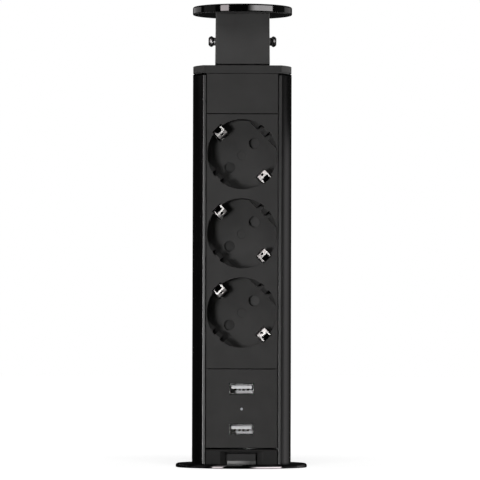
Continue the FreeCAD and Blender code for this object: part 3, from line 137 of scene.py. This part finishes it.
# Gloss cards round the object: azimuth from and to, bottom, top, radius, colour, level at each
# end. The bands light only the lid with the neck's screws, and only the flange.
CARD_STEPS = 24
CARDS = {
    "left_card": (-52, -32, -0.15, 1.3, 1.2, WARM, (4.7, 4.7)),
    "right_ramp": (12, 32, -0.15, 1.3, 1.2, COOL, (0.05, 0.95)),
    "right_card": (32, 73, -0.15, 1.3, 1.2, COOL, (0.95, 0.95)),
    "back_lid": (-156, -112, 0.335, 0.365, 1.19, COOL, (0.7, 0.7)),
    "side_lid": (114, 150, 0.33, 0.37, 1.19, COOL, (0.55, 0.4)),
    "side_card": (114, 150, -0.15, 0.24, 1.2, COOL, (0.6, 0.08)),
    "left_side": (-100, -66, -0.15, 1.3, 1.22, COOL, (0.2, 0.2)),
    "right_flange_side": (80, 125, -0.046, -0.026, 1.19, COOL, (0.8, 0.8)),
    "back_right": (164, 179, -0.6, -0.03, 1.2, COOL, (0, 1.0)),
    "back_left": (-179, -162, -0.6, -0.03, 1.2, COOL, (1.0, 0)),
}
LID_BANDS = {
    "left_lid": (-52, -32, 0.33, 0.40, 1.19, WARM, (4.5, 4.5)),
    "right_lid_ramp": (12, 32, 0.33, 0.40, 1.19, COOL, (0.25, 6.8)),
    "right_lid": (32, 73, 0.33, 0.40, 1.19, COOL, (6.8, 6.8)),
}
FLANGE_BANDS = {
    "left_flange": (-52, -32, -0.10, 0.08, 1.18, PINK, (13, 13)),
    "right_flange_ramp": (14, 32, -0.10, 0.08, 1.18, PINK, (0, 25)),
    "right_flange": (32, 73, -0.10, 0.08, 1.18, PINK, (25, 25)),
}
TOP_CARD_X = (-0.40, 0.02)
TOP_CARD_Y = (-0.60, -0.02)
TOP_CARD_Z = 1.3
TOP_CARD_LEVEL = 2.0


def srgb(level):
    """Linear value of a display level from 0 to 255."""
    share = level / 255
    return share / 12.92 if share <= 0.04045 else ((share + 0.055) / 1.055) ** 2.4


def grey(level, warmth=0.0):
    """Linear colour of a display grey, a little warm or cool."""
    base = srgb(level)
    return (base * (1 + warmth), base, base * (1 - warmth), 1)


class Tree:
    """Node tree that starts empty, with short calls for nodes and links."""

    def __init__(self, owner):
        owner.use_nodes = True
        self.tree = owner.node_tree
        self.tree.nodes.clear()

    def node(self, kind, **settings):
        """New node, with its properties set."""
        made = self.tree.nodes.new(kind)
        for key, value in settings.items():
            setattr(made, key, value)
        return made

    def join(self, start, end):
        self.tree.links.new(start, end)

    def sum(self, operation, first, second):
        """Result of an operation on two values, each a number or a socket."""
        made = self.node("ShaderNodeMath", operation=operation)
        for socket, value in zip(made.inputs, (first, second)):
            if isinstance(value, (int, float)):
                socket.default_value = value
            else:
                self.join(value, socket)
        return made.outputs[0]

    def near(self, value, middle, span):
        """1 where a value is close to a middle, else 0."""
        made = self.node("ShaderNodeMath", operation="COMPARE")
        made.inputs[1].default_value = middle
        made.inputs[2].default_value = span
        self.join(value, made.inputs[0])
        return made.outputs[0]

    def split(self, vector):
        """The three parts of a vector."""
        made = self.node("ShaderNodeSeparateXYZ")
        self.join(vector, made.inputs[0])
        return made.outputs

    def ramp(self, value, low, high, low_out, high_out, **settings):
        """Value between two limits, spread over a range."""
        made = self.node("ShaderNodeMapRange", **settings)
        made.inputs["From Min"].default_value = low
        made.inputs["From Max"].default_value = high
        made.inputs["To Min"].default_value = low_out
        made.inputs["To Max"].default_value = high_out
        self.join(value, made.inputs["Value"])
        return made.outputs[0]

    def add(self, first, second):
        """Sum of two shaders."""
        made = self.node("ShaderNodeAddShader")
        self.join(first, made.inputs[0])
        self.join(second, made.inputs[1])
        return made.outputs[0]


class Shader(Tree):
    """Node tree of one material, with a Principled shader on its output."""

    def __init__(self, name):
        self.material = bpy.data.materials.new(name)
        super().__init__(self.material)
        self.output = self.node("ShaderNodeOutputMaterial")
        self.bsdf = self.node("ShaderNodeBsdfPrincipled")
        self.join(self.bsdf.outputs[0], self.output.inputs["Surface"])
        self.coordinates = self.node("ShaderNodeTexCoord").outputs["Object"]

    def stretched(self, x, y, z):
        """Object coordinates scaled on each axis."""
        mapping = self.node("ShaderNodeMapping")
        mapping.inputs["Scale"].default_value = (x, y, z)
        self.join(self.coordinates, mapping.inputs["Vector"])
        return mapping.outputs[0]

    def noise(self, scale, detail=2.0, vector=None):
        made = self.node("ShaderNodeTexNoise")
        made.inputs["Scale"].default_value = scale
        made.inputs["Detail"].default_value = detail
        made.inputs["Roughness"].default_value = 0.5
        self.join(vector or self.coordinates, made.inputs["Vector"])
        return made.outputs["Fac"]

    def blend(self, factor, first, second):
        """Colour between two colours."""
        made = self.node("ShaderNodeMix", data_type="RGBA")
        self.join(factor, made.inputs["Factor"])
        for socket, colour in ((made.inputs["A"], first), (made.inputs["B"], second)):
            if isinstance(colour, tuple):
                socket.default_value = colour
            else:
                self.join(colour, socket)
        return made.outputs["Result"]

    def colour(self, base, spread, scale=70.0):
        """Base colour with soft darker and lighter areas."""
        dark = tuple(c * (1 - spread) for c in base[:3]) + (1,)
        light = tuple(c * (1 + spread) for c in base[:3]) + (1,)
        result = self.blend(self.ramp(self.noise(scale, 4.0), 0.35, 0.65, 0, 1), dark, light)
        self.join(result, self.bsdf.inputs["Base Color"])
        return result

    def roughness(self, middle, spread, scale=160.0):
        """Roughness that varies softly about a middle value."""
        value = self.ramp(self.noise(scale, 3.0), 0.3, 0.7, middle - spread, middle + spread)
        self.join(value, self.bsdf.inputs["Roughness"])

    def relief(self, height, depth, edge=0.0):
        """Bump of a given depth in metres, on edges softened by a radius in metres."""
        bump = self.node("ShaderNodeBump")
        bump.inputs["Strength"].default_value = 1.0
        bump.inputs["Distance"].default_value = depth
        self.join(height, bump.inputs["Height"])
        if edge:
            bevel = self.node("ShaderNodeBevel", samples=6)
            bevel.inputs["Radius"].default_value = edge
            self.join(bevel.outputs[0], bump.inputs["Normal"])
        self.join(bump.outputs[0], self.bsdf.inputs["Normal"])

    def painted_joint_shade(self, base, specular, levels):
        """Paints shade into narrow level bands at the joints between parts: darker colour and no
        gloss there.
        """
        height = self.split(self.coordinates)["Z"]
        bands = [self.near(height, level, JOINT_SHADE_HALF) for level in levels]
        total = bands[0]
        for band in bands[1:]:
            total = self.sum("MAXIMUM", total, band)
        self.join(self.blend(total, base, grey(JOINT_SHADE_GREY)), self.bsdf.inputs["Base Color"])
        self.specular(self.ramp(total, 0, 1, specular, 0))

    def specular(self, level):
        """Strength of the gloss, a number or a socket."""
        if isinstance(level, (int, float)):
            self.bsdf.inputs["Specular IOR Level"].default_value = level
        else:
            self.join(level, self.bsdf.inputs["Specular IOR Level"])


def moulded(name, base, rough=0.5, specular=0.3, grain=4200.0, depth=0.012 * MM, edge=0.3 * MM,
            spread=0.06, painted_joint_shade=()):
    """Moulded plastic with a fine eroded grain and softened edges, and painted shade in its joints
    where levels are given.
    """
    made = Shader(name)
    made.specular(specular)
    plain = made.colour(base, spread)
    if painted_joint_shade:
        made.painted_joint_shade(plain, specular, painted_joint_shade)
    made.roughness(rough, 0.06)
    made.relief(made.noise(grain, 1.0), depth, edge)
    return made.material


def catch_with_lip_highlight(name):
    """Moulded plastic of the catch, with a painted highlight that makes its up-facing lip paler,
    most at its left.
    """
    made = Shader(name)
    made.specular(0.10)
    plain = made.colour(grey(36, 0.01), 0.06)
    made.roughness(0.5, 0.06)
    made.relief(made.noise(4200.0, 1.0), 0.012 * MM, 0.3 * MM)
    # Painted highlight: the up-facing lip is blended towards a pale grey, most at the left.
    facing = made.split(made.node("ShaderNodeNewGeometry").outputs["True Normal"])["Z"]
    side = made.ramp(made.split(made.coordinates)["X"], LIP_HIGHLIGHT_FROM, LIP_HIGHLIGHT_TO, 1, 0.2)
    lip_highlight = made.sum("MULTIPLY", made.near(facing, LIP_FACING, LIP_FACING_SPAN), side)
    made.join(made.blend(lip_highlight, plain, grey(128, 0.01)), made.bsdf.inputs["Base Color"])
    return made.material


def gloss_plastic(name):
    """Polished black plastic with the faint waviness of a moulded face."""
    made = Shader(name)
    made.specular(0.5)
    made.colour(grey(6), 0.15, 40.0)
    made.roughness(0.07, 0.02, 90.0)
    made.relief(made.noise(55.0, 1.0), 0.01 * MM, 0.25 * MM)
    return made.material


def anodised(name):
    """Black anodised extrusion with fine upright lines, rougher on its front faces."""
    made = Shader(name)
    made.colour(grey(3), 0.2, 50.0)
    lines = made.noise(1.0, 3.0, made.stretched(2600, 2600, 14))
    facing = made.split(made.node("ShaderNodeNewGeometry").outputs["Normal"])["Y"]
    front = made.ramp(facing, FRONT_FROM, FRONT_TO, 1, 0)
    rougher = made.node("ShaderNodeMath", operation="MULTIPLY_ADD")
    rougher.inputs[1].default_value = 0.2
    made.join(front, rougher.inputs[0])
    made.join(made.ramp(lines, 0.3, 0.7, 0.09, 0.15), rougher.inputs[2])
    made.join(rougher.outputs[0], made.bsdf.inputs["Roughness"])
    height = made.split(made.coordinates)["Z"]
    shade = PROFILE_TOP - CAP_SHADOW
    below = made.ramp(height, shade, shade + CAP_SHADOW_EDGE, 1, 0)
    made.specular(made.sum("MULTIPLY", made.ramp(front, 0, 1, 0.5, 0.7), below))
    made.relief(lines, 0.004 * MM, 0.2 * MM)
    return made.material


def metal(name, base, rough=0.25, spread=0.1, lines=900):
    """Metal with a fine plated grain."""
    made = Shader(name)
    made.bsdf.inputs["Metallic"].default_value = 1.0
    made.colour(base, spread, 220.0)
    field = made.noise(1.0, 3.0, made.stretched(lines, lines, lines))
    value = made.ramp(field, 0.3, 0.7, rough * 0.75, rough * 1.25)
    made.join(value, made.bsdf.inputs["Roughness"])
    made.relief(field, 0.003 * MM, 0.12 * MM)
    return made.material


def glowing(name):
    """Milky light pipe that is lit from inside."""
    made = Shader(name)
    made.colour((0.27, 0.28, 0.30, 1), 0.03, 400.0)
    made.roughness(0.3, 0.04)
    made.bsdf.inputs["Emission Strength"].default_value = 0.05
    made.bsdf.inputs["Emission Color"].default_value = (0.95, 0.97, 1.0, 1)
    made.relief(made.noise(1500.0), 0.004 * MM)
    return made.material


def circuit_board(name):
    """Green solder mask over fine tracks."""
    made = Shader(name)
    tracks = made.node("ShaderNodeTexBrick")
    tracks.inputs["Scale"].default_value = 420.0
    tracks.inputs["Mortar Size"].default_value = 0.12
    made.join(made.coordinates, tracks.inputs["Vector"])
    mask = tracks.outputs["Fac"]
    green = made.blend(mask, (0.008, 0.09, 0.03, 1), (0.02, 0.16, 0.05, 1))
    made.join(green, made.bsdf.inputs["Base Color"])
    made.roughness(0.3, 0.05)
    made.relief(mask, 0.03 * MM)
    return made.material


def paint(material, *names):
    """Gives CAD nodes one material and smooth curved faces."""
    for name in names:
        mesh = NODES[name].data
        mesh.materials.clear()
        mesh.materials.append(material)
        mesh.shade_smooth()
        mesh.set_sharp_from_angle(angle=SHARP_ANGLE)


def dress_front():
    """Materials of the nodes that show from the front."""
    # One black plastic gets a different grey on each part, as painted light and shade: lighter on
    # the neck, the socket cups and the shutters, darker on the base and the catch.
    satin = moulded("satin_black", grey(44, 0.015), 0.58, 0.10, painted_joint_shade=JOINT_LEVELS)
    paint(satin, "blank_panel", "socket_strip", "usb_panel")
    cups = moulded("satin_cup", grey(50, 0.015), 0.58, 0.12)
    paint(cups, "socket_cup_1", "socket_cup_2", "socket_cup_3")
    paint(moulded("satin_cap", grey(43, 0.01), 0.58, 0.10), "top_cap")
    paint(moulded("satin_neck", grey(52, 0.01), 0.58, 0.12, edge=0.4 * MM), "lid_neck")
    paint(moulded("satin_base", grey(33, 0.01), 0.6, 0.06), "base_block")
    paint(catch_with_lip_highlight("satin_catch"), "catch_button")
    shutters = moulded("shutter_plastic", grey(52, 0.01), 0.42, 0.2)
    paint(shutters, "shutter_1", "shutter_2", "shutter_3")
    paint(gloss_plastic("gloss_black"), "lid_disc", "mounting_flange")
    paint(anodised("black_anodised"), "tower_profile")
    paint(metal("dark_screw_metal", grey(130), 0.35), "neck_screws")
    paint(metal("washer_metal", grey(140), 0.4), "neck_washers")
    clip = metal("clip_steel", (0.42, 0.41, 0.40, 1), 0.38, 0.3)
    paint(clip, "earth_bridge_1", "earth_bridge_2", "earth_bridge_3", "earth_bar")
    # Painted shade inside the ports: the shells' steel is made far darker than bright plating.
    port = metal("port_steel", (0.1, 0.1, 0.1, 1), 0.3)
    paint(port, "usb_shell_upper", "usb_shell_lower")
    white = moulded("white_insulator", (0.52, 0.52, 0.53, 1), 0.35, 0.5, 1500.0, 0.004 * MM,
                    0.15 * MM, 0.02)
    paint(white, *TONGUES)
    paint(glowing("light_pipe"), "status_light")


def dress_inside():
    """Materials of the nodes inside the tower and under the worktop."""
    spring = metal("spring_steel", (0.6, 0.6, 0.6, 1), 0.25)
    paint(spring, "shutter_springs", "catch_spring")
    inner = moulded("inner_plastic", grey(150, 0.03), 0.5, 0.4)
    paint(inner, "contact_carrier", "contact_cover", "terminal_block")
    paint(moulded("foot_plastic", grey(42), 0.5, 0.4), "tower_foot", "bottom_cap")
    contact_metal = metal("contact_brass", (0.66, 0.45, 0.16, 1), 0.28)
    paint(contact_metal, "live_rail", "neutral_rail", "terminal_screws")
    screws = metal("screw_steel", (0.62, 0.63, 0.64, 1), 0.3)
    paint(screws, "lid_screws", "cap_screws", "carrier_screws", "usb_board_screws", "foot_screws",
          "bottom_cap_screws")
    paint(circuit_board("board_green"), "usb_circuit_board")
    paint(metal("transformer_steel", (0.2, 0.18, 0.15, 1), 0.45), "usb_transformer")
    sleeve = moulded("capacitor_sleeve", (0.03, 0.05, 0.16, 1), 0.3, 0.5, 900.0, 0.01 * MM)
    paint(sleeve, "usb_capacitors")
    gland = moulded("gland_plastic", grey(48), 0.42, 0.4)
    paint(gland, "cable_gland", "gland_nut", "gland_locknut", "clamp_nut")
    rubber = moulded("seal_rubber", grey(30), 0.75, 0.25, 2600.0)
    paint(rubber, "gland_seal", "flange_gasket")
    paint(metal("zinc_steel", (0.55, 0.56, 0.58, 1), 0.38, lines=300), "clamp_washer")


def mesh_from(bm, name):
    mesh = bpy.data.meshes.new(name)
    bm.to_mesh(mesh)
    bm.free()
    return mesh


def new_object(name, data):
    made = bpy.data.objects.new(name, data)
    bpy.context.scene.collection.objects.link(made)
    return made


def new_piece(name, bm, material, body):
    """Finished mesh as a piece that rides on a body."""
    bmesh.ops.recalc_face_normals(bm, faces=bm.faces)
    mesh = mesh_from(bm, name)
    mesh.materials.append(material)
    made = new_object(name, mesh)
    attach(made, body)
    return made


def skin(bm, sections):
    """Closed strip through sections of four points each."""
    rows = [[bm.verts.new(point) for point in section] for section in sections]
    for first, second in zip(rows, rows[1:]):
        for i in range(4):
            j = (i + 1) % 4
            bm.faces.new((first[i], first[j], second[j], second[i]))
    bm.faces.new(rows[0])
    bm.faces.new(rows[-1][::-1])


def contact_strip(bm, x, y0, z):
    """One sprung contact under a tongue: a flat strip with a raised bend near its front."""
    bend = y0 + BEND_FROM
    path = [(y0, 0.15), (bend, 1.0), (bend + BEND_L, 0.35), (y0 + CONTACT_L, 0.35)]
    left, right = x - CONTACT_W / 2, x + CONTACT_W / 2
    sections = []
    for y, share in path:
        low = z - CONTACT_DROP * share
        sections.append([(left, y, low), (right, y, low), (right, y, z), (left, y, z)])
    skin(bm, sections)


def usb_contacts():
    """Four contacts under each tongue."""
    # Painted shade under the tongues: the contacts are made dark instead of bright gold.
    contact_metal = metal("port_contact", (0.10, 0.08, 0.05, 1), 0.4)
    for name in TONGUES:
        low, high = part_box(name)
        under = (low.z + high.z) / 2 + CONTACT_SINK
        bm = bmesh.new()
        for x in CONTACT_PLACES:
            contact_strip(bm, x, low.y + CONTACT_INSET, under)
        new_piece(name.replace("tongue", "contacts"), bm, contact_metal, "tower")


def catch_leaf():
    """Bowed leaf spring behind the catch, drawn at rest and fixed to the tower; the real leaf
    flattens as the catch is pressed.
    """
    low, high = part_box("catch_spring")
    half, rise = high.x, high.y - LEAF_T - low.y
    sections = []
    for i in range(LEAF_STEPS + 1):
        x = -half + 2 * half * i / LEAF_STEPS
        y = low.y + rise * (x / half) ** 2
        back = y + LEAF_T
        sections.append([(x, y, low.z), (x, back, low.z), (x, back, high.z), (x, y, high.z)])
    bm = bmesh.new()
    skin(bm, sections)
    steel = metal("leaf_steel", (0.6, 0.6, 0.6, 1), 0.25)
    made = new_piece("catch_leaf", bm, steel, "tower")
    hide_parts("catch_spring")
    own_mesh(made)


def emission(name, colour, start, end, levels, clear=False):
    """Material that only gives light, with a level at each end of its azimuths in degrees.

    A clear one lets rays pass, so it only adds its light to what lies behind it.
    """
    material = bpy.data.materials.new(name)
    made = Tree(material)
    light = made.node("ShaderNodeEmission")
    light.inputs["Color"].default_value = colour
    shine = light.outputs[0]
    if clear:
        shine = made.add(shine, made.node("ShaderNodeBsdfTransparent").outputs[0])
    made.join(shine, made.node("ShaderNodeOutputMaterial").inputs["Surface"])
    place = made.split(made.node("ShaderNodeTexCoord").outputs["Object"])
    angle = made.sum("ARCTAN2", place["X"], made.sum("MULTIPLY", place["Y"], -1))
    level = made.ramp(angle, math.radians(start), math.radians(end), *levels,
                      interpolation_type="SMOOTHSTEP")
    made.join(level, light.inputs["Strength"])
    return material


def gloss_card(name, bm, material):
    """Light card that is seen in gloss only."""
    mesh = mesh_from(bm, name)
    mesh.materials.append(material)
    made = new_object(name, mesh)
    made.visible_camera = False
    made.visible_diffuse = False
    made.visible_shadow = False
    return made


def card(name, start, end, low, high, radius, colour, levels, clear=False):
    """Bent light card round the object, with azimuths in degrees to the right of the front."""
    bm = bmesh.new()
    columns = []
    for i in range(CARD_STEPS + 1):
        a = math.radians(start + (end - start) * i / CARD_STEPS)
        x, y = radius * math.sin(a), -radius * math.cos(a)
        columns.append((bm.verts.new((x, y, low)), bm.verts.new((x, y, high))))
    for (a, b), (c, d) in zip(columns, columns[1:]):
        bm.faces.new((a, c, d, b))
    return gloss_card(name, bm, emission(name, colour, start, end, levels, clear))


def top_card():
    """Level light card above the front of the object."""
    (x0, x1), (y0, y1) = TOP_CARD_X, TOP_CARD_Y
    bm = bmesh.new()
    corners = ((x0, y0), (x1, y0), (x1, y1), (x0, y1))
    bm.faces.new([bm.verts.new((x, y, TOP_CARD_Z)) for x, y in corners])
    level = (TOP_CARD_LEVEL, TOP_CARD_LEVEL)
    gloss_card("top_card", bm, emission("top_card", WHITE, -180, 180, level))


def link_light(light, state, *objects):
    """EXCLUDE keeps a light off these objects, INCLUDE lets it reach only them."""
    group = bpy.data.collections.new("linked_to_" + light.name)
    for item in objects:
        group.objects.link(item)
    for link in group.collection_objects:
        link.light_linking.link_state = state
    light.light_linking.receiver_collection = group


def lamp(name, azimuth, distance, height, width, tall, irradiance, aim_z, glossy):
    """Area lamp that faces the axis and gives a share of full light there."""
    data = bpy.data.lights.new(name, "AREA")
    data.shape = "RECTANGLE"
    data.size, data.size_y = width, tall
    data.energy = irradiance * math.pi ** 2 * distance ** 2
    made = new_object(name, data)
    a = math.radians(azimuth)
    flat = math.sqrt(distance ** 2 - (height - aim_z) ** 2)
    made.location = (flat * math.sin(a), -flat * math.cos(a), height)
    direction = Vector((0, 0, aim_z)) - made.location
    made.rotation_euler = direction.to_track_quat("-Z", "Y").to_euler()
    made.visible_glossy = glossy
    made.visible_camera = False
    return made


def lights(ground):
    """Key low at the left of the camera, weak lamps at both sides and above, and gloss cards."""
    lid, flange = NODES["lid_disc"], NODES["mounting_flange"]
    made = {name: lamp(name, *place) for name, place in LAMPS.items()}
    link_light(made["key"], "EXCLUDE", lid, flange, ground)
    link_light(made["left"], "EXCLUDE", ground)
    link_light(made["right"], "EXCLUDE", ground)
    for name, place in CARDS.items():
        card(name, *place)
    for bands, lit in ((LID_BANDS, (lid, NODES["neck_screws"])), (FLANGE_BANDS, (flange,))):
        for name, place in bands.items():
            link_light(card(name, *place, clear=True), "INCLUDE", *lit)
    top_card()


def world():
    """White to the camera, a dark room for everything else."""
    studio = bpy.data.worlds.new("studio")
    bpy.context.scene.world = studio
    made = Tree(studio)
    room = made.node("ShaderNodeBackground")
    room.inputs["Strength"].default_value = ROOM_LEVEL
    white = made.node("ShaderNodeBackground")
    white.inputs["Strength"].default_value = 1.0
    for node in (room, white):
        node.inputs["Color"].default_value = WHITE
    mix = made.node("ShaderNodeMixShader")
    made.join(made.node("ShaderNodeLightPath").outputs["Is Camera Ray"], mix.inputs[0])
    made.join(room.outputs[0], mix.inputs[1])
    made.join(white.outputs[0], mix.inputs[2])
    made.join(mix.outputs[0], made.node("ShaderNodeOutputWorld").inputs["Surface"])


def worktop():
    """Material of the floor, which lifts its pale colour to white for the camera."""
    made = Shader("worktop")
    made.specular(0.0)
    made.colour((0.8, 0.8, 0.8, 1), 0.01, 5.0)
    made.roughness(0.9, 0.02, 20.0)
    away = made.node("ShaderNodeVectorMath", operation="LENGTH")
    made.join(made.coordinates, away.inputs[0])
    lift = made.ramp(away.outputs["Value"], FLOOR_NEAR, FLOOR_FAR, FLOOR_LIFT_NEAR, FLOOR_LIFT_FAR)
    seen = made.node("ShaderNodeLightPath").outputs["Is Camera Ray"]
    glow = made.node("ShaderNodeEmission")
    made.join(made.sum("MULTIPLY", seen, lift), glow.inputs["Strength"])
    made.join(made.add(made.bsdf.outputs[0], glow.outputs[0]), made.output.inputs["Surface"])
    return made.material


def floor():
    """Pale worktop with a round hole for the sleeve, white to the camera except for the shadow."""
    bm = bmesh.new()
    turns = [2 * math.pi * i / FLOOR_STEPS for i in range(FLOOR_STEPS)]
    inner, outer = ([bm.verts.new((radius * math.cos(a), radius * math.sin(a), 0)) for a in turns]
                    for radius in (HOLE_R, FLOOR_R))
    for i in range(FLOOR_STEPS):
        j = (i + 1) % FLOOR_STEPS
        bm.faces.new((inner[i], outer[i], outer[j], inner[j]))
    mesh = mesh_from(bm, "floor")
    mesh.materials.append(worktop())
    plane = new_object("floor", mesh)
    plane.visible_glossy = False
    plane.visible_shadow = False
    return plane


def camera():
    """Camera at the photograph's place, nearly level with a long lens."""
    data = bpy.data.cameras.new("camera")
    data.lens = CAMERA_LENS
    data.sensor_width = CAMERA_SENSOR
    data.clip_start, data.clip_end = CAMERA_CLIP
    made = new_object("camera", data)
    az, level = CAMERA_AZIMUTH, math.cos(CAMERA_PITCH)
    forward = Vector((-math.sin(az) * level, math.cos(az) * level, math.sin(CAMERA_PITCH)))
    forward.rotate(Matrix.Rotation(CAMERA_YAW, 3, "Z"))
    right = forward.cross(Vector((0, 0, 1))).normalized()
    up = right.cross(forward)
    roll = Matrix.Rotation(CAMERA_ROLL, 3, "Z")
    turn = Matrix((right, up, -forward)).transposed() @ roll
    back = CAMERA_DISTANCE
    place = Vector((back * math.sin(az), -back * math.cos(az), CAMERA_HEIGHT))
    made.matrix_world = Matrix.Translation(place) @ turn.to_4x4()
    bpy.context.scene.camera = made


bpy.context.scene.view_settings.view_transform = "Standard"
dress_front()
dress_inside()
usb_contacts()
catch_leaf()
camera()
world()
lights(floor())
